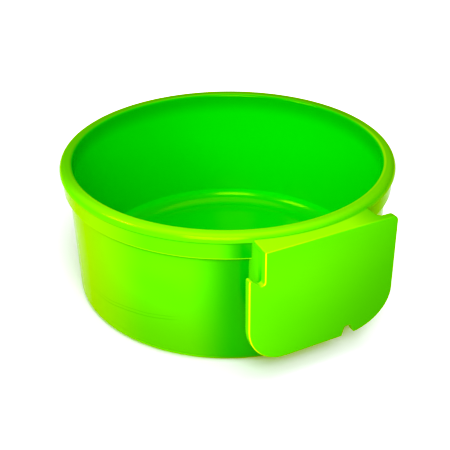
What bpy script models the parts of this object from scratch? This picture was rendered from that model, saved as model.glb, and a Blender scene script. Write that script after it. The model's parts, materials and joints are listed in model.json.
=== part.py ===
"""A hang-on feed bowl for a calf pen or hutch, in lime green plastic.

The bowl is round, with a thick lip, a stepped band under it, and a hanger on one
side: a flat shelf, two cheeks under it and an upright plate. The real bowl is one
moulding. Here each feature is a solid of its own, a hair clear of its neighbours.

Metres, +Z up. The origin is on the bowl's axis at the surface that it stands on,
and the hanger's plate faces -Y.
"""

import math

import bmesh
import bpy
from mathutils import Vector

# Gap between two solids that touch on the real bowl.
GAP = 0.0003

# The turned pieces' segments, and the widest angle between two points on a rounding.
SEGMENTS = 96
ARC_STEP = 11.25

# The bowl, turned about Z. The wall leans out from the foot to the lip.
FLOOR_THICKNESS = 0.005
FOOT_RADIUS = 0.1311
FOOT_ROUNDING = 0.0075
SHOULDER_RADIUS = 0.1340
COVE_RADIUS = 0.015
INNER_FOOT_RADIUS = 0.1269
INNER_MOUTH_RADIUS = 0.1292

# The lip and the band under it.
LIP_RADIUS = 0.1400
LIP_TOP = 0.1194
LIP_BOTTOM = 0.1130
LIP_OUTER_ROUNDING = 0.0055
LIP_INNER_ROUNDING = 0.0030
BAND_RADIUS = 0.1378
BAND_BOTTOM = 0.0985
BAND_ROUNDING = 0.0008

# The hanger's plate, seen from the front.
PLATE_FACE = 0.1524
PLATE_THICKNESS = 0.0062
PLATE_HALF_WIDTH = 0.0629
PLATE_TOP = 0.1164
PLATE_BOTTOM = 0.0210
PLATE_EDGE_ROUNDING = 0.0010
PLATE_BEVEL_SEGMENTS = 2
PLATE_BEVEL_ABOVE_ANGLE = 60
LOWER_CORNER = 0.0320
EAR_CORNER = 0.0045
SMALL_CORNER = 0.0010

# The latch notch cuts away the plate's top left corner, down to a sloping shelf.
LATCH_NOTCH_SIDE = -0.0501
LATCH_NOTCH_ROOT = 0.0867
LATCH_NOTCH_ROUNDING = 0.0026
LATCH_EAR_TOP = 0.0983

# The small notch in the plate's lower edge, and the lower right corner beyond it. That
# corner is wider than the left one, and starts partly round, at the notch's side.
KEY_NOTCH_LEFT = 0.0190
KEY_NOTCH_RIGHT = 0.0292
KEY_NOTCH_TOP = 0.0293
KEY_NOTCH_SLANT = 0.0024
KEY_NOTCH_ROUNDING = 0.0018
RIGHT_CORNER_WIDTH = 0.0380
RIGHT_CORNER_START = -82

# The shelf from the lip to the plate, and the cheeks under its two ends.
SHELF_HALF_WIDTH = 0.0495
SHELF_THICKNESS = 0.0040
SHELF_FILLET = 0.0030
SHELF_BACK_STEP = 2.5
CHEEK_THICKNESS = 0.0035
CHEEK_FRONT_BOTTOM = 0.0760
CHEEK_BACK_BOTTOM = 0.0700

LIME = (0.15, 0.78, 0.004, 1.0)
DEEP_LIME = (0.03, 0.66, 0.002, 1.0)
WARM_LIME = (0.22, 0.82, 0.006, 1.0)
POLISHED = 0.20
GLOSSY = 0.24
SATIN = 0.28


def clear_scene():
    """Empty the scene that the script starts in."""
    for item in list(bpy.data.objects):
        bpy.data.objects.remove(item, do_unlink=True)


def plastic(name, colour, roughness):
    """A glossy moulded plastic."""
    material = bpy.data.materials.new(name)
    material.use_nodes = True
    shader = material.node_tree.nodes["Principled BSDF"]
    shader.inputs["Base Color"].default_value = colour
    shader.inputs["Roughness"].default_value = roughness
    shader.inputs["Metallic"].default_value = 0.0
    return material


def add_object(name, mesh, material):
    """Put a mesh in the scene, under a name and with one material."""
    mesh.materials.append(material)
    item = bpy.data.objects.new(name, mesh)
    bpy.context.collection.objects.link(item)
    return item


def arc(centre, radii, start, end, widest_step=ARC_STEP):
    """Points on an ellipse's arc in a plane, with its angles in degrees."""
    steps = math.ceil(abs(end - start) / widest_step)
    points = []
    for step in range(steps + 1):
        angle = math.radians(start + (end - start) * step / steps)
        across = centre[0] + radii[0] * math.cos(angle)
        points.append((across, centre[1] + radii[1] * math.sin(angle)))
    return points


def fillet(before, corner, after, radius):
    """Points that round a corner of an outline between its two neighbours."""
    corner = Vector(corner)
    back = (Vector(before) - corner).normalized()
    ahead = (Vector(after) - corner).normalized()
    half_angle = back.angle(ahead) / 2
    reach = radius / math.tan(half_angle)
    centre = corner + (back + ahead).normalized() * radius / math.sin(half_angle)
    first = corner + back * reach - centre
    last = corner + ahead * reach - centre
    start = math.degrees(math.atan2(first.y, first.x))
    sweep = math.degrees(math.atan2(last.y, last.x)) - start
    sweep = (sweep + 180) % 360 - 180
    return arc(centre, (radius, radius), start, start + sweep)


def wall_outside(height):
    """The wall's outer radius at a height."""
    rise = (height - FOOT_ROUNDING) / (LIP_BOTTOM - FOOT_ROUNDING)
    return FOOT_RADIUS + (SHOULDER_RADIUS - FOOT_RADIUS) * rise


def turned(name, profile, closed, material):
    """Turn a profile of (radius, height) points once round Z.

    The profile runs down its outer side. A closed one makes a ring, and an open one
    starts and ends on the axis.
    """
    mesh = bpy.data.meshes.new(name)
    edges = [(index, index + 1) for index in range(len(profile) - 1)]
    if closed:
        edges.append((len(profile) - 1, 0))
    mesh.from_pydata([(radius, 0, height) for radius, height in profile], edges, [])
    item = add_object(name, mesh, material)
    screw = item.modifiers.new("turn", "SCREW")
    screw.axis = "Z"
    screw.angle = math.tau
    screw.screw_offset = 0
    screw.steps = SEGMENTS
    screw.render_steps = SEGMENTS
    screw.use_merge_vertices = True
    screw.merge_threshold = 0.0001
    screw.use_smooth_shade = True
    return item


def slab(name, outline, place, depth, material):
    """Extrude a flat outline along a vector, after placing its points in space."""
    mesh = bpy.data.meshes.new(name)
    shape = bmesh.new()
    face = shape.faces.new([shape.verts.new(place(point)) for point in outline])
    grown = bmesh.ops.extrude_face_region(shape, geom=[face], use_keep_orig=True)
    moved = [part for part in grown["geom"] if isinstance(part, bmesh.types.BMVert)]
    bmesh.ops.translate(shape, verts=moved, vec=depth)
    bmesh.ops.recalc_face_normals(shape, faces=shape.faces)
    shape.to_mesh(mesh)
    shape.free()
    return add_object(name, mesh, material)


def make_floor(material):
    """The bowl's flat floor, inside the coved corner."""
    edge = INNER_FOOT_RADIUS - COVE_RADIUS - GAP
    profile = [(0, FLOOR_THICKNESS), (edge, FLOOR_THICKNESS), (edge, 0), (0, 0)]
    return turned("bowl_floor", profile, False, material)


def make_wall(material):
    """The wall, with the rounded foot outside and the wide cove inside."""
    top = LIP_BOTTOM - GAP
    seam = INNER_FOOT_RADIUS - COVE_RADIUS
    foot_centre = (FOOT_RADIUS - FOOT_ROUNDING, FOOT_ROUNDING)
    foot = arc(foot_centre, (FOOT_ROUNDING, FOOT_ROUNDING), 0, -90)
    cove_centre = (seam, FLOOR_THICKNESS + COVE_RADIUS)
    cove = arc(cove_centre, (COVE_RADIUS, COVE_RADIUS), -90, 0)
    profile = [(wall_outside(top), top), *foot, (seam, 0), *cove]
    profile.append((INNER_MOUTH_RADIUS, top))
    return turned("bowl_wall", profile, True, material)


def make_lip(material):
    """The thick lip, rounded over its top, widest at its outer side."""
    outer_centre = (LIP_RADIUS - LIP_OUTER_ROUNDING, LIP_TOP - LIP_OUTER_ROUNDING)
    outer = arc(outer_centre, (LIP_OUTER_ROUNDING, LIP_OUTER_ROUNDING), 90, 0)
    inner_centre = (INNER_MOUTH_RADIUS + LIP_INNER_ROUNDING, LIP_TOP - LIP_INNER_ROUNDING)
    inner = arc(inner_centre, (LIP_INNER_ROUNDING, LIP_INNER_ROUNDING), 180, 90)
    profile = [*outer, (LIP_RADIUS, LIP_BOTTOM), (INNER_MOUTH_RADIUS, LIP_BOTTOM), *inner]
    return turned("rim_lip", profile, True, material)


def make_band(material):
    """The upright band that thickens the wall under the lip."""
    top = LIP_BOTTOM - GAP
    inside = SHOULDER_RADIUS + GAP
    edge_centre = (BAND_RADIUS - BAND_ROUNDING, BAND_BOTTOM + BAND_ROUNDING)
    edge = arc(edge_centre, (BAND_ROUNDING, BAND_ROUNDING), 0, -90)
    profile = [(BAND_RADIUS, top), *edge, (inside, BAND_BOTTOM), (inside, top)]
    return turned("rim_band", profile, True, material)


def plate_outline():
    """The plate from the front, anticlockwise from its lower left corner."""
    left, right = -PLATE_HALF_WIDTH, PLATE_HALF_WIDTH
    lower = PLATE_BOTTOM + LOWER_CORNER
    left_centre = (left + LOWER_CORNER, lower)
    right_centre = (right - RIGHT_CORNER_WIDTH, lower)
    key = [
        (KEY_NOTCH_LEFT, PLATE_BOTTOM),
        (KEY_NOTCH_LEFT + KEY_NOTCH_SLANT, KEY_NOTCH_TOP),
        (KEY_NOTCH_RIGHT - KEY_NOTCH_SLANT, KEY_NOTCH_TOP),
        (KEY_NOTCH_RIGHT, PLATE_BOTTOM),
    ]
    top_right = (right, PLATE_TOP)
    top_left = (LATCH_NOTCH_SIDE, PLATE_TOP)
    root = (LATCH_NOTCH_SIDE, LATCH_NOTCH_ROOT)
    ear = (left, LATCH_EAR_TOP)
    return [
        *arc(left_centre, (LOWER_CORNER, LOWER_CORNER), 180, 270),
        key[0],
        *fillet(key[0], key[1], key[2], KEY_NOTCH_ROUNDING),
        *fillet(key[1], key[2], key[3], KEY_NOTCH_ROUNDING),
        *arc(right_centre, (RIGHT_CORNER_WIDTH, LOWER_CORNER), RIGHT_CORNER_START, 0),
        *fillet((right, lower), top_right, top_left, EAR_CORNER),
        *fillet(top_right, top_left, root, SMALL_CORNER),
        *fillet(top_left, root, ear, LATCH_NOTCH_ROUNDING),
        *fillet(root, ear, (left, lower), SMALL_CORNER),
    ]


def make_plate(material):
    """The upright plate that a bracket or a pen front sits behind."""

    def place(point):
        return (point[0], -PLATE_FACE, point[1])

    item = slab("hanger_plate", plate_outline(), place, (0, PLATE_THICKNESS, 0), material)
    bevel = item.modifiers.new("soft_edges", "BEVEL")
    bevel.width = PLATE_EDGE_ROUNDING
    bevel.segments = PLATE_BEVEL_SEGMENTS
    bevel.limit_method = "ANGLE"
    bevel.angle_limit = math.radians(PLATE_BEVEL_ABOVE_ANGLE)
    return item


def make_shelf(material):
    """The flat shelf from the lip to the plate, level with the plate's top."""
    front = -(PLATE_FACE - PLATE_THICKNESS - GAP)
    inner_radius = LIP_RADIUS + GAP
    reach = math.degrees(math.asin(SHELF_HALF_WIDTH / inner_radius))
    fillet_centre = (SHELF_HALF_WIDTH + SHELF_FILLET, front + SHELF_FILLET)
    back = (inner_radius, inner_radius)
    outline = [
        (-SHELF_HALF_WIDTH, front),
        *arc(fillet_centre, (SHELF_FILLET, SHELF_FILLET), 270, 180),
        *arc((0, 0), back, -90 + reach, -90 - reach, SHELF_BACK_STEP),
    ]

    def place(point):
        return (point[0], point[1], PLATE_TOP)

    return slab("hanger_shelf", outline, place, (0, 0, -SHELF_THICKNESS), material)


def cheek_side(across):
    """One side of a cheek as (y, z) points, at its distance from the middle."""
    front = -(PLATE_FACE - PLATE_THICKNESS - GAP)
    top = PLATE_TOP - SHELF_THICKNESS - GAP
    step = BAND_BOTTOM - GAP

    def behind(radius):
        return -math.sqrt((radius + GAP) ** 2 - across**2)

    return [
        (front, CHEEK_FRONT_BOTTOM),
        (front, top),
        (behind(BAND_RADIUS), top),
        (behind(BAND_RADIUS), step),
        (behind(wall_outside(step)), step),
        (behind(wall_outside(CHEEK_BACK_BOTTOM)), CHEEK_BACK_BOTTOM),
    ]


def make_cheek(name, side, material):
    """The web under one end of the shelf, from the plate back to the bowl."""
    mesh = bpy.data.meshes.new(name)
    shape = bmesh.new()
    loops = []
    for across in (SHELF_HALF_WIDTH - CHEEK_THICKNESS, SHELF_HALF_WIDTH):
        loops.append([shape.verts.new((side * across, y, z)) for y, z in cheek_side(across)])
    for loop in loops:
        shape.faces.new(loop)
    edges = [edge for edge in shape.edges if edge.is_boundary]
    bmesh.ops.bridge_loops(shape, edges=edges)
    bmesh.ops.recalc_face_normals(shape, faces=shape.faces)
    shape.to_mesh(mesh)
    shape.free()
    return add_object(name, mesh, material)


def main():
    clear_scene()
    make_floor(plastic("floor_green", DEEP_LIME, SATIN))
    make_wall(plastic("wall_green", LIME, GLOSSY))
    make_lip(plastic("lip_green", WARM_LIME, POLISHED))
    make_band(plastic("band_green", LIME, GLOSSY))
    make_shelf(plastic("shelf_green", WARM_LIME, GLOSSY))
    make_plate(plastic("plate_green", LIME, GLOSSY))
    make_cheek("hanger_cheek_left", -1, plastic("left_cheek_green", LIME, SATIN))
    make_cheek("hanger_cheek_right", 1, plastic("right_cheek_green", LIME, SATIN))


main()
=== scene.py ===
"""The looks of a hang-on feed bowl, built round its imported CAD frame.

The real bowl is one glossy injection moulding. Each CAD node is replaced by a finer
piece with the moulding's roundings and fillets, and the pieces meet without a gap,
so that they read as one. Metres, +Z up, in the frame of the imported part.
"""

import json
import math

import bmesh
import bpy
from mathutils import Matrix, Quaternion, Vector

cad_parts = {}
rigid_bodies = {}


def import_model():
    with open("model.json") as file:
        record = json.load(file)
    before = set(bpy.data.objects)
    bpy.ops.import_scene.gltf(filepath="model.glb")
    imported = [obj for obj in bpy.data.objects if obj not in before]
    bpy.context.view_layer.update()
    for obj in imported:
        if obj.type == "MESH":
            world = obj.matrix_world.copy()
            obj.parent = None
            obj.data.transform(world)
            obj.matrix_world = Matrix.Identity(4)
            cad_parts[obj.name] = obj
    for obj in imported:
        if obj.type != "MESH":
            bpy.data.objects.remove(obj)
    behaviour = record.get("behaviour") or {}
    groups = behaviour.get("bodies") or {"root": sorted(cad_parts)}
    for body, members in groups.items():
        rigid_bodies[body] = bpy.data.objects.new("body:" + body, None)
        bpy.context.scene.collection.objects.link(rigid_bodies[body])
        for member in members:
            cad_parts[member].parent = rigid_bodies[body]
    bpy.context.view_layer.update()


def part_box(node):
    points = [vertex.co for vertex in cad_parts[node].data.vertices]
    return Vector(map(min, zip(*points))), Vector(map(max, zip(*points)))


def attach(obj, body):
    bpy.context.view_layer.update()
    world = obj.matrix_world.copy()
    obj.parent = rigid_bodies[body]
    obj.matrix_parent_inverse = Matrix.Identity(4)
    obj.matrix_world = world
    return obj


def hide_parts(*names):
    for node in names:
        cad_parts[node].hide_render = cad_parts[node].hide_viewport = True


MM = 0.001

# Fineness of the meshes. Arc steps and the sharp angle are in degrees.
TURN_SEGMENTS = 288
ARC_STEP = 6.0
SMALL_ARC_STEP = 15.0
SHELF_ARC_STEP = 2.0
SHARP_ANGLE = 50.0
NORMAL_WEIGHT = 80

# Roundings of the turned pieces.
LIP_OUTER_ROUNDING = 5.5 * MM
LIP_INNER_ROUNDING = 3.0 * MM
LIP_LOWER_ROUNDING = 0.7 * MM
BAND_TOP_FILLET = 0.7 * MM
BAND_BOTTOM_ROUNDING = 0.7 * MM
BAND_ROOT_FILLET = 1.2 * MM
SEAM_OVERLAP = 1.0 * MM
FOOT_ROUNDING = 7.5 * MM
COVE_RADIUS = 15.0 * MM
INNER_MOUTH_RADIUS = 129.2 * MM
INNER_FOOT_RADIUS = 126.9 * MM
FOOT_RADIUS = 131.1 * MM

# The hanger, as in the CAD. Its solids are joined on a fine grid and then smoothed, which
# gives every edge the rounding, and every inner corner the fillet, of a moulding.
GRID = 0.5 * MM
SMOOTH_STEPS = 8
SMOOTH_FACTOR = 0.5
CUT_CLEARANCE = 0.3 * MM
LOWER_CORNER = 32.0 * MM
RIGHT_CORNER_WIDTH = 38.0 * MM
RIGHT_CORNER_START = -82
EAR_CORNER = 4.5 * MM
SMALL_CORNER = 1.4 * MM
LATCH_NOTCH_SIDE = -50.1 * MM
LATCH_NOTCH_ROOT = 86.7 * MM
LATCH_NOTCH_ROUNDING = 2.4 * MM
LATCH_EAR_TOP = 98.3 * MM
KEY_NOTCH_LEFT = 19.0 * MM
KEY_NOTCH_RIGHT = 29.2 * MM
KEY_NOTCH_TOP = 29.3 * MM
KEY_NOTCH_SLANT = 2.4 * MM
KEY_NOTCH_ROUNDING = 1.8 * MM
SHELF_BACK_RADIUS = 137.0 * MM
SHELF_RIGHT = 49.1 * MM
SHELF_CORNER_FILLET = 3.5 * MM
SHELF_BACK_CORNER = 4.0 * MM
CHEEK_THICKNESS = 3.5 * MM
CHEEK_FRONT = 49.4 * MM
CHEEK_BEND = 49.0 * MM
CHEEK_BEND_DEPTH = 137.0 * MM
CHEEK_BACK = 47.6 * MM
CHEEK_BACK_DEPTH = 122.0 * MM
CHEEK_FILLET = 7.0 * MM
CHEEK_BOTTOM = 73.0 * MM
CHEEK_INNER_MARGIN = 3.0 * MM

# Camera.
CAMERA_PLACE = Vector((-0.3088, -0.5917, 0.4340))
CAMERA_AIM = Vector((0.3976, 0.7687, -0.5011))
CAMERA_ROLL = -0.46
CAMERA_LENS = 70.0
CAMERA_SENSOR = 36.0
CAMERA_CLIP = (0.01, 50)

# Stage and light. The view curves are (in, out) points.
STAGE_HEIGHT = -0.2 * MM
STAGE_HALF = 6.0
STAGE_WHITE = (0.97, 0.97, 0.97, 1)
STAGE_ROUGHNESS = 0.9
WHITE = (1, 1, 1, 1)
WORLD_STRENGTH = 0.22
RED_CURVE = ((0.08, 0.050), (0.35, 0.30))
BLUE_CURVE = ((0.25, 0.02), (0.62, 0.47))


def arc(centre, radii, start, end, widest_step=ARC_STEP):
    """Points on an ellipse's arc in a plane, with its angles in degrees."""
    steps = max(2, math.ceil(abs(end - start) / widest_step))
    points = []
    for step in range(steps + 1):
        angle = math.radians(start + (end - start) * step / steps)
        across = centre[0] + radii[0] * math.cos(angle)
        points.append((across, centre[1] + radii[1] * math.sin(angle)))
    return points


def rounding(centre, radius, start, end, widest_step=ARC_STEP):
    """Points on a circle's arc in a plane, with its angles in degrees."""
    return arc(centre, (radius, radius), start, end, widest_step)


def fillet(before, corner, after, radius):
    """Points that round a corner of an outline between its two neighbours."""
    corner = Vector(corner)
    back = (Vector(before) - corner).normalized()
    ahead = (Vector(after) - corner).normalized()
    half_angle = back.angle(ahead) / 2
    reach = radius / math.tan(half_angle)
    centre = corner + (back + ahead).normalized() * radius / math.sin(half_angle)
    first = corner + back * reach - centre
    last = corner + ahead * reach - centre
    start = math.degrees(math.atan2(first.y, first.x))
    sweep = math.degrees(math.atan2(last.y, last.x)) - start
    sweep = (sweep + 180) % 360 - 180
    return rounding(centre, radius, start, start + sweep)


def add_piece(name, mesh, nodes, material):
    """Show a mesh in the place of CAD nodes, riding on the part's one body."""
    mesh.materials.clear()
    mesh.materials.append(material)
    piece = bpy.data.objects.new(name, mesh)
    bpy.context.scene.collection.objects.link(piece)
    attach(piece, "root")
    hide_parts(*nodes)
    return piece


def finish_mesh(mesh):
    """Smooth shading, with true corners left crisp."""
    mesh.polygons.foreach_set("use_smooth", [True] * len(mesh.polygons))
    mesh.set_sharp_from_angle(angle=math.radians(SHARP_ANGLE))
    return mesh


def weigh_normals(piece):
    """Shade flats flat and roundings round."""
    weighted = piece.modifiers.new("weighted_normals", "WEIGHTED_NORMAL")
    weighted.keep_sharp = True
    weighted.weight = NORMAL_WEIGHT


def mesh_of(shape, name):
    """Turn a mesh in the making into a mesh."""
    mesh = bpy.data.meshes.new(name)
    shape.to_mesh(mesh)
    shape.free()
    return mesh


def turned_mesh(name, profile, closed):
    """Turn a profile of (radius, height) points once round Z."""
    shape = bmesh.new()
    rings = []
    for radius, height in profile:
        if radius == 0:
            rings.append([shape.verts.new((0, 0, height))])
            continue
        ring = []
        for segment in range(TURN_SEGMENTS):
            angle = math.tau * segment / TURN_SEGMENTS
            spot = (radius * math.cos(angle), radius * math.sin(angle), height)
            ring.append(shape.verts.new(spot))
        rings.append(ring)
    pairs = list(zip(rings, rings[1:]))
    if closed:
        pairs.append((rings[-1], rings[0]))
    for first, second in pairs:
        for segment in range(TURN_SEGMENTS):
            after = (segment + 1) % TURN_SEGMENTS
            corners = [first[segment % len(first)], second[segment % len(second)]]
            if len(second) > 1:
                corners.append(second[after])
            if len(first) > 1:
                corners.append(first[after])
            shape.faces.new(corners)
    bmesh.ops.recalc_face_normals(shape, faces=shape.faces)
    return finish_mesh(mesh_of(shape, name))


def add_prism(shape, outline, place, depth):
    """Add a solid to a mesh in the making: a flat outline, extruded along a vector."""
    face = shape.faces.new([shape.verts.new(place(point)) for point in outline])
    grown = bmesh.ops.extrude_face_region(shape, geom=[face], use_keep_orig=True)
    moved = [part for part in grown["geom"] if isinstance(part, bmesh.types.BMVert)]
    bmesh.ops.translate(shape, verts=moved, vec=depth)


def bake(item):
    """Make an object's modifiers part of its mesh."""
    bpy.context.view_layer.update()
    graph = bpy.context.evaluated_depsgraph_get()
    mesh = bpy.data.meshes.new_from_object(item.evaluated_get(graph))
    item.modifiers.clear()
    item.data = mesh


# ---------------------------------------------------------------- sizes from the frame

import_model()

lip_low, lip_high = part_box("rim_lip")
band_low, band_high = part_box("rim_band")
wall_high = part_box("bowl_wall")[1]
floor_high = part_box("bowl_floor")[1]
plate_low, plate_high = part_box("hanger_plate")
shelf_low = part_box("hanger_shelf")[0]

LIP_RADIUS = lip_high.x
LIP_TOP = lip_high.z
LIP_BOTTOM = lip_low.z
BAND_RADIUS = band_high.x
BAND_BOTTOM = band_low.z
SHOULDER_RADIUS = wall_high.x
FLOOR_TOP = floor_high.z
PLATE_FRONT = plate_low.y
PLATE_BACK = plate_high.y
PLATE_LEFT = plate_low.x
PLATE_RIGHT = plate_high.x
PLATE_TOP = plate_high.z
PLATE_BOTTOM = plate_low.z
PLATE_MIDDLE = (PLATE_FRONT + PLATE_BACK) / 2
SHELF_BOTTOM = shelf_low.z


def wall_outside(height):
    """The wall's outer radius at a height."""
    rise = (height - FOOT_ROUNDING) / (LIP_BOTTOM - FOOT_ROUNDING)
    return FOOT_RADIUS + (SHOULDER_RADIUS - FOOT_RADIUS) * rise


# ---------------------------------------------------------------- materials


class Nodes:
    """Short calls for building a material's node tree."""

    def __init__(self, name):
        self.material = bpy.data.materials.new(name)
        self.material.use_nodes = True
        self.tree = self.material.node_tree
        self.shader = self.tree.nodes["Principled BSDF"]
        coordinates = self.tree.nodes.new("ShaderNodeTexCoord")
        self.place = coordinates.outputs["Object"]

    def link(self, source, target):
        self.tree.links.new(source, target)

    def math(self, operation, first, second=0.0):
        node = self.tree.nodes.new("ShaderNodeMath")
        node.operation = operation
        for socket, value in zip(node.inputs, (first, second)):
            if isinstance(value, (int, float)):
                socket.default_value = value
            else:
                self.link(value, socket)
        return node.outputs[0]

    def ramp(self, value, low, high):
        """Smoothly 0 at low and 1 at high."""
        node = self.tree.nodes.new("ShaderNodeMapRange")
        node.interpolation_type = "SMOOTHSTEP"
        self.link(value, node.inputs["Value"])
        node.inputs["From Min"].default_value = low
        node.inputs["From Max"].default_value = high
        return node.outputs["Result"]

    def fall(self, value, low, high):
        """Smoothly 1 at low and 0 at high."""
        return self.math("SUBTRACT", 1.0, self.ramp(value, low, high))

    def band(self, value, low, high, fade):
        """Smoothly 1 between low and high, and 0 past the fade on either side."""
        inside = self.ramp(value, low - fade, low)
        return self.product(inside, self.fall(value, high, high + fade))

    def product(self, first, *others):
        for other in others:
            first = self.math("MULTIPLY", first, other)
        return first

    def noise(self, scale, detail=3.0, stretch=(1, 1, 1), roughness=0.5):
        mapping = self.tree.nodes.new("ShaderNodeMapping")
        mapping.inputs["Scale"].default_value = stretch
        self.link(self.place, mapping.inputs["Vector"])
        node = self.tree.nodes.new("ShaderNodeTexNoise")
        node.inputs["Scale"].default_value = scale
        node.inputs["Detail"].default_value = detail
        node.inputs["Roughness"].default_value = roughness
        self.link(mapping.outputs["Vector"], node.inputs["Vector"])
        return node.outputs["Fac"]

    def mix(self, factor, first, second):
        node = self.tree.nodes.new("ShaderNodeMix")
        node.data_type = "RGBA"
        colours = [socket for socket in node.inputs if socket.type == "RGBA"]
        self.link(factor, node.inputs["Factor"])
        for socket, value in zip(colours, (first, second)):
            if isinstance(value, tuple):
                socket.default_value = value
            else:
                self.link(value, socket)
        return [socket for socket in node.outputs if socket.type == "RGBA"][0]

    def split(self, vector):
        node = self.tree.nodes.new("ShaderNodeSeparateXYZ")
        self.link(vector, node.inputs[0])
        return node.outputs

    def axes(self):
        return self.split(self.place)

    def normal(self):
        geometry = self.tree.nodes.new("ShaderNodeNewGeometry")
        return self.split(geometry.outputs["Normal"])


# The plastic: even, with faint flow marks, fine scuffs and dust.
LIME = (0.080, 0.540, 0.0002, 1.0)
FLOW = (0.094, 0.560, 0.0002, 1.0)
FLOW_SCALE = 9.0
FLOW_STRETCH = (1, 1, 2.5)
FLOW_RANGE = (0.30, 0.70)
SCUFF_SCALE = 220.0
SCUFF_STRETCH = (1, 1, 0.15)
SCUFF_DETAIL = 4.0
SCUFF_NOISE_ROUGHNESS = 0.6
PATCH_SCALE = 14.0
GRAIN_SCALE = 500.0
GRAIN_STRENGTH = 0.05
GRAIN_DEPTH = 0.2 * MM
ROUGHNESS = 0.10
SCUFF_ROUGHNESS = 0.10
PATCH_ROUGHNESS = 0.06
SPECULAR_LEVEL = 0.30
SPECULAR_TINT = (1.0, 1.0, 0.6, 1.0)
REFRACTIVE_INDEX = 1.49

# Its colour by place. These imitate the photograph's strong processing, and partly its
# shade and light, so they are no pigments.
# Painted light: the top light on the upward faces of the bowl and rim.
PAINTED_TOP_LIGHT = (0.160, 0.560, 0.0002, 1.0)
# Painted light: the same top light, dimmer on the far side.
PAINTED_FAR_TOP_LIGHT = (0.100, 0.420, 0.0002, 1.0)
# Painted light: the top light on the hanger's upward faces.
PAINTED_SHELF_TOP_LIGHT = (0.250, 0.680, 0.0002, 1.0)
# Painted shade: darker low on the bowl's outside, near the floor.
LOW_WALL_SHADE = (0.080, 0.400, 0.0002, 1.0)
# Painted shade: the plate darker towards its lower right.
PLATE_RIGHT_SHADE = (0.042, 0.370, 0.0002, 1.0)
# Painted light: the deeper green of light bounced round inside the bowl.
PAINTED_INSIDE_BOUNCE = (0.0002, 0.630, 0.0001, 1.0)
# Painted shade: the floor inside the bowl darker than its wall.
PAINTED_FLOOR_SHADE = (0.0002, 0.550, 0.0001, 1.0)
# Painted shade: inside the bowl, close under the lip.
PAINTED_BRIM_SHADE = (0.0002, 0.440, 0.0001, 1.0)
# Painted shadow: on the wall behind the hanger's plate.
PAINTED_HANGER_SHADOW = (0.0002, 0.280, 0.0001, 1.0)
# Painted shade in the steps' roots and the cheek's crease; also the colour of the two scuffs.
PAINTED_SHADE_AND_SCUFF = (0.010, 0.260, 0.0001, 1.0)
# Painted light: the shelf's top light, weaker on the ear's rounded top.
PAINTED_EAR_TOP_LIGHT = (0.110, 0.480, 0.0002, 1.0)
# Painted shade: where the shelf runs in under the lip.
PAINTED_SHELF_ROOT_SHADE = (0.070, 0.480, 0.0002, 1.0)
# Painted shade: on the cheek's strip next to the plate, deeper downwards.
PAINTED_STRIP_SHADE = (0.0002, 0.400, 0.0001, 1.0)
# Painted highlight: a lighter line where the wall turns into the cove.
PAINTED_COVE_HIGHLIGHT = (0.0020, 0.720, 0.0001, 1.0)
# Painted sheen: yellower on the bowl's far left flank.
PAINTED_LEFT_SHEEN = (0.210, 0.500, 0.0002, 1.0)
# Painted highlights on the steps' edges; also the colour of the dust specks.
EDGE_HIGHLIGHT_AND_DUST = (0.260, 0.640, 0.0003, 1.0)
# Painted highlights: on the hanger's front edges.
PAINTED_FRONT_EDGE_HIGHLIGHT = (0.700, 0.800, 0.0010, 1.0)

# Where the tints fade in or out, as (low, high). Those of normals have no unit.
UPWARD_NORMAL = (0.35, 0.95)
HOLLOW_RADIUS = (0.1324, 0.1334)
HOLLOW_TOP = (0.1176, 0.1192)
HOLLOW_OUTWARD = (0.01, 0.04)
HOLLOW_DOWNWARD_NORMAL = (-0.6, -0.3)
BRIM_HEIGHT = (0.098, 0.114)
COVE_LINE_START = (0.0090, 0.0165)
COVE_LINE_END = (0.0168, 0.0176)
OUTSIDE_RADIUS = (0.1305, 0.1310)
BEHIND_LEFT_ON_WALL = (-0.088, -0.056)
BEHIND_LEFT_ON_BAND = (-0.072, -0.054)
BEHIND_TOP_ON_BAND = (0.1125, 0.1130)
BEHIND_RIGHT = (0.045, 0.055)
BEHIND_DEPTH = (-0.100, -0.080)
LOW_WALL_HEIGHT = (0.010, 0.080)
FAR_LIP_DEPTH = (-0.06, 0.04)
PLATE_SHADE = (-0.10, 0.03)
PLATE_SHADE_SLANT = 0.9
STRIP_SIDE = (-0.0490, -0.0485)
STRIP_DEPTH = (-0.1435, -0.1400)
STRIP_HEIGHT = (0.086, 0.110)
STRIP_START = 0.3 * MM
CREASE_SIDE = (-0.0485, -0.0475)
CREASE_DEPTH = (-0.1413, -0.1408)
CREASE_FADE = 0.5 * MM
CREASE_STRENGTH = 0.35
EAR_TOP_SIDE = (0.020, 0.055)
SHELF_ROOT_WIDTH = 1.0 * MM
SHELF_ROOT_FADE = 1.3 * MM
LEFT_FLANK_SIDE = (-0.138, -0.108)
FRONT_EDGE_TOP_SHARE = 0.42
FRONT_EDGE_NORMAL = (0.10, 0.42)
FRONT_EDGE_SIDE = (-0.03, 0.02)

# Painted shade in the roots of the two steps under the lip and the band, and painted
# highlights on their edges, measured from each step.
STEP_GAP = 0.2 * MM
BAND_ROOT_DEPTH = 2.2 * MM
BAND_ROOT_FADE = 0.2 * MM
BAND_ROOT_STRENGTH = 0.9
BAND_SHADE_FADE = 3.0 * MM
BAND_SHADE_STRENGTH = 0.6
LIP_ROOT_DEPTH = 1.6 * MM
LIP_ROOT_FADE = 0.8 * MM
LIP_ROOT_STRENGTH = 0.5
BAND_EDGE = (0.1 * MM, 0.7 * MM)
BAND_EDGE_FADE = 0.3 * MM
LIP_EDGE = (1.4 * MM, 0.4 * MM)
LIP_EDGE_DEPTH = (-0.06, 0.02)
LIP_EDGE_RADIUS = (0.1304, 0.1318)
LIP_EDGE_FADE = 0.5 * MM

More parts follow.
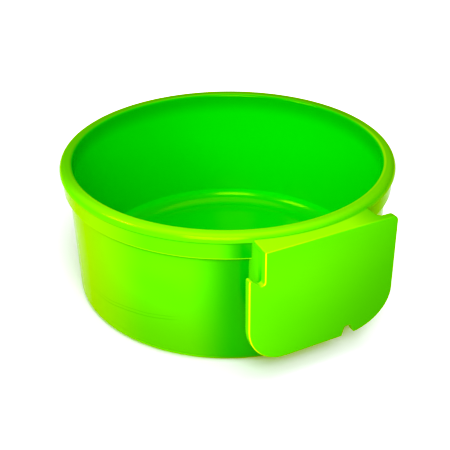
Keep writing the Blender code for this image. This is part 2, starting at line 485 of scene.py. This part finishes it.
# Two scuffs and the dust.
SCRATCH_SLOPE = 0.23
SCRATCH_WANDER_SCALE = 30.0
SCRATCH_WANDER = 0.004
FIRST_SCRATCH = (0.0603, 0.0608, 0.4 * MM)
SECOND_SCRATCH = (0.0635, 0.0638, 0.3 * MM)
SCRATCH_SIDE = (-0.124, -0.100, 0.010)
SCRATCH_DEPTH = (0.0, 0.02)
SCRATCH_STRENGTH = 0.4
SPECK_SCALE = 45.0
SPECK_SIZE = (0.008, 0.016)
SPECK_STRENGTH = 0.5


def radius_of(nodes, x, y):
    squares = [nodes.product(x, x), nodes.product(y, y)]
    return nodes.math("SQRT", nodes.math("ADD", *squares))


def hollow(nodes):
    """1 inside the bowl, fading out over the lip's inner rounding."""
    x, y, z = nodes.axes()
    nx, ny, nz = nodes.normal()
    within = nodes.fall(radius_of(nodes, x, y), *HOLLOW_RADIUS)
    outward = nodes.math("ADD", nodes.product(x, nx), nodes.product(y, ny))
    inward = nodes.fall(outward, *HOLLOW_OUTWARD)
    inward = nodes.product(inward, nodes.ramp(nz, *HOLLOW_DOWNWARD_NORMAL))
    return nodes.product(within, inward, nodes.fall(z, *HOLLOW_TOP))


def brim_shade(nodes):
    """1 inside the bowl, close under the lip, for the lip's painted shade."""
    return nodes.product(hollow(nodes), nodes.ramp(nodes.axes()[2], *BRIM_HEIGHT))


def cove_highlight(nodes):
    """A soft painted highlight line inside the bowl, where its wall turns into the cove."""
    z = nodes.axes()[2]
    line = nodes.product(nodes.ramp(z, *COVE_LINE_START), nodes.fall(z, *COVE_LINE_END))
    return nodes.product(hollow(nodes), line)


def hollow_floor(nodes):
    """1 on the floor inside the bowl."""
    return nodes.product(hollow(nodes), upward(nodes))


def hanger_shadow(nodes):
    """1 on the bowl's outside, between the hanger's plate and the wall, for the plate's
    painted shadow.
    """
    x, y, z = nodes.axes()
    under_step = nodes.fall(z, BAND_BOTTOM - MM, BAND_BOTTOM)
    on_wall = nodes.product(nodes.ramp(x, *BEHIND_LEFT_ON_WALL), under_step)
    under_shelf = nodes.fall(z, *BEHIND_TOP_ON_BAND)
    on_band = nodes.product(nodes.ramp(x, *BEHIND_LEFT_ON_BAND), under_shelf)
    front = nodes.product(nodes.fall(x, *BEHIND_RIGHT), nodes.fall(y, *BEHIND_DEPTH))
    return nodes.product(nodes.math("MAXIMUM", on_wall, on_band), front)


def outside(nodes):
    """1 on the bowl's outside."""
    x, y, _ = nodes.axes()
    return nodes.ramp(radius_of(nodes, x, y), *OUTSIDE_RADIUS)


def root_below(nodes, step, depth, fade):
    """1 in the root below a step's height, and 0 past the fade."""
    return nodes.band(nodes.axes()[2], step - depth, step - STEP_GAP, fade)


def short_of(nodes, step):
    """1 below a step's height, and 0 above it."""
    return nodes.fall(nodes.axes()[2], step - STEP_GAP, step)


def band_step_shade(nodes):
    """Painted shade, strong in the root of the step below the band, and weaker round it."""
    root = root_below(nodes, BAND_BOTTOM, BAND_ROOT_DEPTH, BAND_ROOT_FADE)
    soft = root_below(nodes, BAND_BOTTOM, BAND_ROOT_DEPTH, BAND_SHADE_FADE)
    root = nodes.product(root, BAND_ROOT_STRENGTH)
    root = nodes.math("MAXIMUM", root, nodes.product(soft, BAND_SHADE_STRENGTH))
    return nodes.product(outside(nodes), root, short_of(nodes, BAND_BOTTOM))


def lip_step_shade(nodes):
    """Painted shade, half as strong, in the root of the step below the lip."""
    root = root_below(nodes, LIP_BOTTOM, LIP_ROOT_DEPTH, LIP_ROOT_FADE)
    below = short_of(nodes, LIP_BOTTOM)
    return nodes.product(outside(nodes), root, below, LIP_ROOT_STRENGTH)


def edge_highlights(nodes):
    """Painted highlights: 1 on the band's lower rounding and on the near part of the lip's
    inner rounding.
    """
    x, y, z = nodes.axes()
    low, high = (BAND_BOTTOM + rise for rise in BAND_EDGE)
    band_edge = nodes.product(nodes.band(z, low, high, BAND_EDGE_FADE), outside(nodes))
    low, high = (LIP_TOP - drop for drop in LIP_EDGE)
    near_top = nodes.product(nodes.ramp(z, low, high), nodes.fall(y, *LIP_EDGE_DEPTH))
    inner = nodes.band(radius_of(nodes, x, y), *LIP_EDGE_RADIUS, LIP_EDGE_FADE)
    return nodes.math("MAXIMUM", band_edge, nodes.product(near_top, inner))


def low_wall_shade(nodes):
    """1 low on the bowl's outside, for painted shade near the floor."""
    return nodes.product(outside(nodes), nodes.fall(nodes.axes()[2], *LOW_WALL_HEIGHT))


def far_lip(nodes):
    """1 on the upward faces of the far side, where the painted top light is dimmer."""
    return nodes.product(upward(nodes), nodes.ramp(nodes.axes()[1], *FAR_LIP_DEPTH))


def plate_right_shade(nodes):
    """1 towards the plate's lower right, for painted shade."""
    x, _, z = nodes.axes()
    along = nodes.math("SUBTRACT", x, nodes.product(z, PLATE_SHADE_SLANT))
    not_up = nodes.fall(upward(nodes), 0.0, 1.0)
    return nodes.product(nodes.ramp(along, *PLATE_SHADE), not_up)


def cheek_strip_shade(nodes):
    """Painted shade, deepening downwards, on the strip of the left cheek next to the plate."""
    x, y, z = nodes.axes()
    past_plate = nodes.ramp(y, PLATE_BACK, PLATE_BACK + STRIP_START)
    side = nodes.product(nodes.fall(x, *STRIP_SIDE), past_plate)
    return nodes.product(side, nodes.fall(y, *STRIP_DEPTH), nodes.fall(z, *STRIP_HEIGHT))


def cheek_crease_shade(nodes):
    """Weak painted shade, along the line where the strip turns into the cheek."""
    x, y, z = nodes.axes()
    under_shelf = nodes.fall(z, SHELF_BOTTOM - MM, SHELF_BOTTOM)
    side = nodes.product(nodes.fall(x, *CREASE_SIDE), under_shelf)
    crease = nodes.band(y, *CREASE_DEPTH, CREASE_FADE)
    return nodes.product(side, crease, CREASE_STRENGTH)


def ear_top(nodes):
    """1 on top of the plate's right ear, where the painted top light is weaker."""
    return nodes.product(upward(nodes), nodes.ramp(nodes.axes()[0], *EAR_TOP_SIDE))


def shelf_root_shade(nodes):
    """1 where the shelf runs into the lip, for painted shade."""
    x, y, _ = nodes.axes()
    far = LIP_RADIUS + SHELF_ROOT_WIDTH
    root = nodes.band(radius_of(nodes, x, y), LIP_RADIUS, far, SHELF_ROOT_FADE)
    return nodes.product(upward(nodes), root)


def scratches(nodes):
    """Two faint scuffs low on the bowl's left."""
    x, y, z = nodes.axes()
    wander = nodes.product(nodes.noise(SCRATCH_WANDER_SCALE, 2.0), SCRATCH_WANDER)
    slanted = nodes.math("SUBTRACT", z, nodes.product(x, SCRATCH_SLOPE))
    line = nodes.math("ADD", slanted, wander)
    first = nodes.band(line, *FIRST_SCRATCH)
    second = nodes.band(line, *SECOND_SCRATCH)
    along = nodes.product(nodes.band(x, *SCRATCH_SIDE), nodes.fall(y, *SCRATCH_DEPTH))
    either = nodes.math("MAXIMUM", first, second)
    return nodes.product(outside(nodes), along, either, SCRATCH_STRENGTH)


def specks(nodes):
    """Sparse specks of dust."""
    cells = nodes.tree.nodes.new("ShaderNodeTexVoronoi")
    cells.inputs["Scale"].default_value = SPECK_SCALE
    nodes.link(nodes.place, cells.inputs["Vector"])
    dots = nodes.fall(cells.outputs["Distance"], *SPECK_SIZE)
    return nodes.product(dots, SPECK_STRENGTH)


def left_flank_sheen(nodes):
    """Painted sheen: 1 on the far left of the bowl's outside, where the wall turns away."""
    x, _, z = nodes.axes()
    below_lip = nodes.fall(z, LIP_BOTTOM - MM, LIP_BOTTOM)
    return nodes.product(outside(nodes), nodes.fall(x, *LEFT_FLANK_SIDE), below_lip)


def upward(nodes):
    """1 on surfaces that face up."""
    return nodes.ramp(nodes.normal()[2], *UPWARD_NORMAL)


def front_edge_highlights(nodes):
    """Painted highlights: 1 on the hanger's roundings between its front and its left or top
    faces.
    """
    x, y, z = nodes.normal()
    to_left = nodes.product(x, -1.0)
    turned = nodes.math("MAXIMUM", to_left, nodes.product(z, FRONT_EDGE_TOP_SHARE))
    both = nodes.product(turned, nodes.product(y, -1.0))
    on_left = nodes.fall(nodes.axes()[0], *FRONT_EDGE_SIDE)
    return nodes.product(nodes.ramp(both, *FRONT_EDGE_NORMAL), on_left)


def lime_plastic(name, tints):
    """Glossy moulded polypropylene, with a list of tints laid over it in order, most of them
    painted light and shade.
    """
    nodes = Nodes(name)
    flow = nodes.noise(FLOW_SCALE, 2.0, FLOW_STRETCH)
    body = nodes.mix(nodes.ramp(flow, *FLOW_RANGE), LIME, FLOW)
    for mask, tint in tints:
        body = nodes.mix(mask(nodes), body, tint)
    nodes.link(body, nodes.shader.inputs["Base Color"])
    scuff = nodes.noise(SCUFF_SCALE, SCUFF_DETAIL, SCUFF_STRETCH, SCUFF_NOISE_ROUGHNESS)
    patch = nodes.noise(PATCH_SCALE, 2.0)
    rough = nodes.math("MULTIPLY_ADD", scuff, SCUFF_ROUGHNESS)
    rough.node.inputs[2].default_value = ROUGHNESS
    rough = nodes.math("ADD", rough, nodes.product(patch, PATCH_ROUGHNESS))
    nodes.link(rough, nodes.shader.inputs["Roughness"])
    bump = nodes.tree.nodes.new("ShaderNodeBump")
    bump.inputs["Strength"].default_value = GRAIN_STRENGTH
    bump.inputs["Distance"].default_value = GRAIN_DEPTH
    nodes.link(nodes.noise(GRAIN_SCALE), bump.inputs["Height"])
    nodes.link(bump.outputs["Normal"], nodes.shader.inputs["Normal"])
    nodes.shader.inputs["Specular IOR Level"].default_value = SPECULAR_LEVEL
    nodes.shader.inputs["Specular Tint"].default_value = SPECULAR_TINT
    nodes.shader.inputs["IOR"].default_value = REFRACTIVE_INDEX
    return nodes.material


# ---------------------------------------------------------------- the bowl

# Tints in order: painted shade, shadow, light, sheen and highlights, with two real scuffs and
# dust specks.
BOWL_TINTS = [
    (low_wall_shade, LOW_WALL_SHADE),
    (left_flank_sheen, PAINTED_LEFT_SHEEN),
    (upward, PAINTED_TOP_LIGHT),
    (far_lip, PAINTED_FAR_TOP_LIGHT),
    (hanger_shadow, PAINTED_HANGER_SHADOW),
    (scratches, PAINTED_SHADE_AND_SCUFF),
    (lip_step_shade, PAINTED_SHADE_AND_SCUFF),
    (band_step_shade, PAINTED_SHADE_AND_SCUFF),
    (hollow, PAINTED_INSIDE_BOUNCE),
    (brim_shade, PAINTED_BRIM_SHADE),
    (hollow_floor, PAINTED_FLOOR_SHADE),
    (cove_highlight, PAINTED_COVE_HIGHLIGHT),
    (edge_highlights, EDGE_HIGHLIGHT_AND_DUST),
    (specks, EDGE_HIGHLIGHT_AND_DUST),
]
HANGER_TINTS = [
    (plate_right_shade, PLATE_RIGHT_SHADE),
    (upward, PAINTED_SHELF_TOP_LIGHT),
    (ear_top, PAINTED_EAR_TOP_LIGHT),
    (shelf_root_shade, PAINTED_SHELF_ROOT_SHADE),
    (cheek_strip_shade, PAINTED_STRIP_SHADE),
    (cheek_crease_shade, PAINTED_SHADE_AND_SCUFF),
    (front_edge_highlights, PAINTED_FRONT_EDGE_HIGHLIGHT),
    (specks, EDGE_HIGHLIGHT_AND_DUST),
]

bowl_material = lime_plastic("bowl_lime", BOWL_TINTS)
rim_material = lime_plastic("rim_lime", BOWL_TINTS)
hanger_material = lime_plastic("hanger_lime", HANGER_TINTS)

seam_radius = INNER_FOOT_RADIUS - COVE_RADIUS

floor_profile = [(0, FLOOR_TOP), (seam_radius, FLOOR_TOP), (seam_radius, 0), (0, 0)]

wall_profile = [
    (wall_outside(LIP_BOTTOM), LIP_BOTTOM),
    *rounding((FOOT_RADIUS - FOOT_ROUNDING, FOOT_ROUNDING), FOOT_ROUNDING, 0, -90),
    (seam_radius, 0),
    *rounding((seam_radius, FLOOR_TOP + COVE_RADIUS), COVE_RADIUS, -90, 0),
    (INNER_MOUTH_RADIUS, LIP_BOTTOM),
]

lip_outer = (LIP_RADIUS - LIP_OUTER_ROUNDING, LIP_TOP - LIP_OUTER_ROUNDING)
lip_lower = (LIP_RADIUS - LIP_LOWER_ROUNDING, LIP_BOTTOM + LIP_LOWER_ROUNDING)
lip_inner = (INNER_MOUTH_RADIUS + LIP_INNER_ROUNDING, LIP_TOP - LIP_INNER_ROUNDING)
lip_profile = [
    *rounding(lip_outer, LIP_OUTER_ROUNDING, 90, 0),
    *rounding(lip_lower, LIP_LOWER_ROUNDING, 0, -90, SMALL_ARC_STEP),
    (INNER_MOUTH_RADIUS, LIP_BOTTOM),
    *rounding(lip_inner, LIP_INNER_ROUNDING, 180, 90),
]

root = wall_outside(BAND_BOTTOM)
root_bottom = BAND_BOTTOM - BAND_ROOT_FILLET
band_top = (BAND_RADIUS + BAND_TOP_FILLET, LIP_BOTTOM - BAND_TOP_FILLET)
band_lower = (BAND_RADIUS - BAND_BOTTOM_ROUNDING, BAND_BOTTOM + BAND_BOTTOM_ROUNDING)
band_root = (root + BAND_ROOT_FILLET, root_bottom)
band_profile = [
    *rounding(band_top, BAND_TOP_FILLET, 90, 180, SMALL_ARC_STEP),
    *rounding(band_lower, BAND_BOTTOM_ROUNDING, 0, -90, SMALL_ARC_STEP),
    *rounding(band_root, BAND_ROOT_FILLET, 90, 180, SMALL_ARC_STEP),
    (root - SEAM_OVERLAP, root_bottom),
    (root - SEAM_OVERLAP, LIP_BOTTOM),
]

for node, profile, closed, slot, material in (
    ("bowl_floor", floor_profile, False, "bowl_plastic", bowl_material),
    ("bowl_wall", wall_profile, True, "bowl_plastic", bowl_material),
    ("rim_lip", lip_profile, True, "rim_plastic", rim_material),
    ("rim_band", band_profile, True, "rim_plastic", rim_material),
):
    name = node + "_skin"
    mesh = turned_mesh(name, profile, closed)
    weigh_normals(add_piece(name, mesh, [node], material))


# ---------------------------------------------------------------- the hanger


def plate_outline():
    """The plate from the front, with its small lower notch but not its latch notch."""
    lower = PLATE_BOTTOM + LOWER_CORNER
    left_centre = (PLATE_LEFT + LOWER_CORNER, lower)
    right_centre = (PLATE_RIGHT - RIGHT_CORNER_WIDTH, lower)
    key = [
        (KEY_NOTCH_LEFT, PLATE_BOTTOM),
        (KEY_NOTCH_LEFT + KEY_NOTCH_SLANT, KEY_NOTCH_TOP),
        (KEY_NOTCH_RIGHT - KEY_NOTCH_SLANT, KEY_NOTCH_TOP),
        (KEY_NOTCH_RIGHT, PLATE_BOTTOM),
    ]
    top_right = (PLATE_RIGHT, PLATE_TOP)
    top_left = (LATCH_NOTCH_SIDE, PLATE_TOP)
    notch_root = (LATCH_NOTCH_SIDE, LATCH_NOTCH_ROOT)
    ear = (PLATE_LEFT, LATCH_EAR_TOP)
    return [
        *rounding(left_centre, LOWER_CORNER, 180, 270),
        key[0],
        *fillet(key[0], key[1], key[2], KEY_NOTCH_ROUNDING),
        *fillet(key[1], key[2], key[3], KEY_NOTCH_ROUNDING),
        *arc(right_centre, (RIGHT_CORNER_WIDTH, LOWER_CORNER), RIGHT_CORNER_START, 0),
        *fillet((PLATE_RIGHT, lower), top_right, top_left, EAR_CORNER),
        top_left,
        *fillet(top_left, notch_root, ear, LATCH_NOTCH_ROUNDING),
        *fillet(notch_root, ear, (PLATE_LEFT, lower), SMALL_CORNER),
    ]


def shelf_outline():
    """The shelf from above, from inside the plate to inside the lip."""
    right_centre = (SHELF_RIGHT + SHELF_CORNER_FILLET, PLATE_BACK + SHELF_CORNER_FILLET)
    right_end = -90 + math.degrees(math.asin(SHELF_RIGHT / SHELF_BACK_RADIUS))
    back_corner = (-CHEEK_BEND, -math.sqrt(LIP_RADIUS**2 - CHEEK_BEND**2) - GRID)
    inside = (back_corner[0] / 2, back_corner[1] * SHELF_BACK_RADIUS / LIP_RADIUS)
    front_left = (LATCH_NOTCH_SIDE, PLATE_MIDDLE)
    left_end = -90 + math.degrees(math.asin(inside[0] / SHELF_BACK_RADIUS))
    return [
        front_left,
        (SHELF_RIGHT + SHELF_CORNER_FILLET, PLATE_MIDDLE),
        *rounding(right_centre, SHELF_CORNER_FILLET, 270, 180),
        *rounding((0, 0), SHELF_BACK_RADIUS, right_end, left_end, SHELF_ARC_STEP),
        *fillet(inside, back_corner, front_left, SHELF_BACK_CORNER),
    ]


def cheek_outline():
    """The left cheek from above, mirrored to positive X."""
    return [
        (CHEEK_FRONT - CHEEK_THICKNESS, PLATE_MIDDLE),
        (CHEEK_FRONT, PLATE_MIDDLE),
        (CHEEK_BEND, -CHEEK_BEND_DEPTH),
        (CHEEK_BACK, -CHEEK_BACK_DEPTH),
        (CHEEK_BACK - CHEEK_THICKNESS, -CHEEK_BACK_DEPTH),
    ]


def ear_fillet_outline():
    """The left cheek's fillet to the back of the plate's ear, mirrored to positive X."""
    corner = (CHEEK_FRONT - GRID, PLATE_MIDDLE)
    centre = (CHEEK_FRONT + CHEEK_FILLET, PLATE_BACK + CHEEK_FILLET)
    curve = rounding(centre, CHEEK_FILLET, 270, 180)
    return [corner, (centre[0], PLATE_MIDDLE), *curve, (corner[0], centre[1])]


def in_front(point):
    return (point[0], PLATE_FRONT, point[1])


def level(side, height):
    """Places an outline flat at a height, mirrored if side is -1."""
    return lambda point: (side * point[0], point[1], height)


def cut_away(shape, place, away):
    """Cut off what lies beyond a plane, and return the edges of the cut."""
    cut = bmesh.ops.bisect_plane(
        shape,
        geom=shape.verts[:] + shape.edges[:] + shape.faces[:],
        plane_co=place,
        plane_no=away,
        clear_outer=True,
    )
    return [part for part in cut["geom_cut"] if isinstance(part, bmesh.types.BMEdge)]


def left_ear_fillet(top, drop):
    """The fillet behind the left ear, which ends at the latch notch's slope."""
    shape = bmesh.new()
    add_prism(shape, ear_fillet_outline(), level(-1, top), drop)
    slope = Vector((LATCH_NOTCH_ROOT - LATCH_EAR_TOP, 0, PLATE_LEFT - LATCH_NOTCH_SIDE))
    rim = cut_away(shape, (LATCH_NOTCH_SIDE, 0, LATCH_NOTCH_ROOT), -slope)
    bmesh.ops.contextual_create(shape, geom=rim)
    return mesh_of(shape, "left_fillet")


def hanger_solid():
    """The hanger in one solid with rounded edges: its parts overlap, and are then joined."""
    shape = bmesh.new()
    shelf_drop = (0, 0, SHELF_BOTTOM - PLATE_TOP)
    add_prism(shape, plate_outline(), in_front, (0, PLATE_BACK - PLATE_FRONT, 0))
    add_prism(shape, shelf_outline(), level(1, PLATE_TOP), shelf_drop)
    cheek_top = SHELF_BOTTOM + GRID
    cheek_drop = (0, 0, CHEEK_BOTTOM - SHELF_BOTTOM - GRID)
    for side in (-1, 1):
        add_prism(shape, cheek_outline(), level(side, cheek_top), cheek_drop)
    add_prism(shape, ear_fillet_outline(), level(1, cheek_top), cheek_drop)
    shape.from_mesh(left_ear_fillet(cheek_top, cheek_drop))
    bmesh.ops.recalc_face_normals(shape, faces=shape.faces)
    item = bpy.data.objects.new("hanger_solid", mesh_of(shape, "hanger_solid"))
    bpy.context.scene.collection.objects.link(item)
    remesh = item.modifiers.new("grid", "REMESH")
    remesh.mode = "VOXEL"
    remesh.voxel_size = GRID
    smooth = item.modifiers.new("smooth", "SMOOTH")
    smooth.factor = SMOOTH_FACTOR
    smooth.iterations = SMOOTH_STEPS
    bake(item)
    return item


def part_of(source, name, planes):
    """The part of a mesh on the kept side of some planes, closed where it is cut."""
    shape = bmesh.new()
    shape.from_mesh(source)
    for place, away in planes:
        bmesh.ops.holes_fill(shape, edges=cut_away(shape, place, away), sides=0)
    return finish_mesh(mesh_of(shape, name))


# The cuts run in the CAD's gaps, clear of the plate's back and the shelf's underside. A cut
# in either face would leave a film of it on the pieces beyond.
solid = hanger_solid()
plate_cut = PLATE_BACK + CUT_CLEARANCE
shelf_cut = SHELF_BOTTOM - CUT_CLEARANCE
behind = ((0, plate_cut, 0), (0, -1, 0))
ahead = ((0, plate_cut, 0), (0, 1, 0))
above = ((0, 0, shelf_cut), (0, 0, -1))
below = ((0, 0, shelf_cut), (0, 0, 1))
cheek_end = CHEEK_BACK - CHEEK_THICKNESS - CHEEK_INNER_MARGIN
leftwards = ((-cheek_end, 0, 0), (1, 0, 0))
rightwards = ((cheek_end, 0, 0), (-1, 0, 0))
for node, planes in (
    ("hanger_plate", [ahead]),
    ("hanger_shelf", [behind, above]),
    ("hanger_cheek_left", [behind, below, leftwards]),
    ("hanger_cheek_right", [behind, below, rightwards]),
):
    name = node + "_skin"
    mesh = part_of(solid.data, name, planes)
    weigh_normals(add_piece(name, mesh, [node], hanger_material))
bpy.data.objects.remove(solid, do_unlink=True)


# ---------------------------------------------------------------- stage, light, camera


def add_floor():
    """The pale floor, a hair below the bowl's flat underside."""
    mesh = bpy.data.meshes.new("stage_floor")
    sides = [(-1, -1), (1, -1), (1, 1), (-1, 1)]
    corners = [(x * STAGE_HALF, y * STAGE_HALF, STAGE_HEIGHT) for x, y in sides]
    mesh.from_pydata(corners, [], [(0, 1, 2, 3)])
    item = bpy.data.objects.new("stage_floor", mesh)
    bpy.context.scene.collection.objects.link(item)
    nodes = Nodes("white_paper")
    nodes.shader.inputs["Base Color"].default_value = STAGE_WHITE
    nodes.shader.inputs["Roughness"].default_value = STAGE_ROUGHNESS
    nodes.shader.inputs["Specular IOR Level"].default_value = 0.0
    mesh.materials.append(nodes.material)
    return item


def add_light(kind, name, place, aim, size, power):
    """A sun, whose size is its angle in degrees, or an area light, with its size in metres."""
    data = bpy.data.lights.new(name, kind)
    data.energy = power
    if kind == "SUN":
        data.angle = math.radians(size)
    else:
        data.size = size
    item = bpy.data.objects.new(name, data)
    bpy.context.scene.collection.objects.link(item)
    item.location = place
    direction = Vector(aim) - Vector(place)
    item.rotation_mode = "QUATERNION"
    item.rotation_quaternion = direction.to_track_quat("-Z", "Y")
    return item


def add_world():
    """Dim white light from all round, with a full white backdrop for the camera."""
    world = bpy.data.worlds.new("studio")
    bpy.context.scene.world = world
    world.use_nodes = True
    background = world.node_tree.nodes["Background"]
    background.inputs["Color"].default_value = WHITE
    background.inputs["Strength"].default_value = WORLD_STRENGTH
    backdrop = world.node_tree.nodes.new("ShaderNodeBackground")
    ray = world.node_tree.nodes.new("ShaderNodeLightPath")
    choice = world.node_tree.nodes.new("ShaderNodeMixShader")
    links = world.node_tree.links
    links.new(ray.outputs["Is Camera Ray"], choice.inputs["Fac"])
    links.new(background.outputs[0], choice.inputs[1])
    links.new(backdrop.outputs[0], choice.inputs[2])
    links.new(choice.outputs[0], world.node_tree.nodes["World Output"].inputs["Surface"])
    backdrop.inputs["Color"].default_value = WHITE


def set_look():
    """The photograph's strong colours: curves take out faint red and most of the blue."""
    view = bpy.context.scene.view_settings
    view.view_transform = "Standard"
    view.use_curve_mapping = True
    red, _, blue, _ = view.curve_mapping.curves
    for curve, points in ((red, RED_CURVE), (blue, BLUE_CURVE)):
        for point in points:
            curve.points.new(*point)
    view.curve_mapping.update()


def add_camera():
    data = bpy.data.cameras.new("camera")
    data.lens = CAMERA_LENS
    data.sensor_width = CAMERA_SENSOR
    data.clip_start, data.clip_end = CAMERA_CLIP
    item = bpy.data.objects.new("camera", data)
    bpy.context.scene.collection.objects.link(item)
    item.location = CAMERA_PLACE
    item.rotation_mode = "QUATERNION"
    roll = Quaternion((0, 0, 1), math.radians(CAMERA_ROLL))
    item.rotation_quaternion = CAMERA_AIM.to_track_quat("-Z", "Y") @ roll
    bpy.context.scene.camera = item


def light_only(light, items):
    """Let a light fall on some objects only, as flags and grids do in a studio."""
    receivers = bpy.data.collections.new(light.name + "_receivers")
    for item in items:
        receivers.objects.link(item)
    light.light_linking.receiver_collection = receivers


pieces = [item for item in bpy.context.scene.objects if item.name.endswith("_skin")]
stage_floor = add_floor()
add_world()
add_light("SUN", "top", place=(0, 0, 2), aim=(0, 0.2, 0), size=50, power=1.3)
wash = add_light(
    "SUN", "wash", place=(-0.35, -0.95, 0.85), aim=(0, 0, 0), size=40, power=3.3
)
light_only(wash, [stage_floor])
near = add_light(
    "AREA", "near", place=(-0.25, -0.36, 0.30), aim=(-0.05, -0.12, 0.09), size=0.26, power=2.7
)
left = add_light(
    "AREA", "left", place=(-0.47, 0.06, 0.42), aim=(0, 0, 0.08), size=0.18, power=1.5
)
for light in (near, left):
    light_only(light, pieces)
    light.visible_camera = False
add_camera()
set_look()
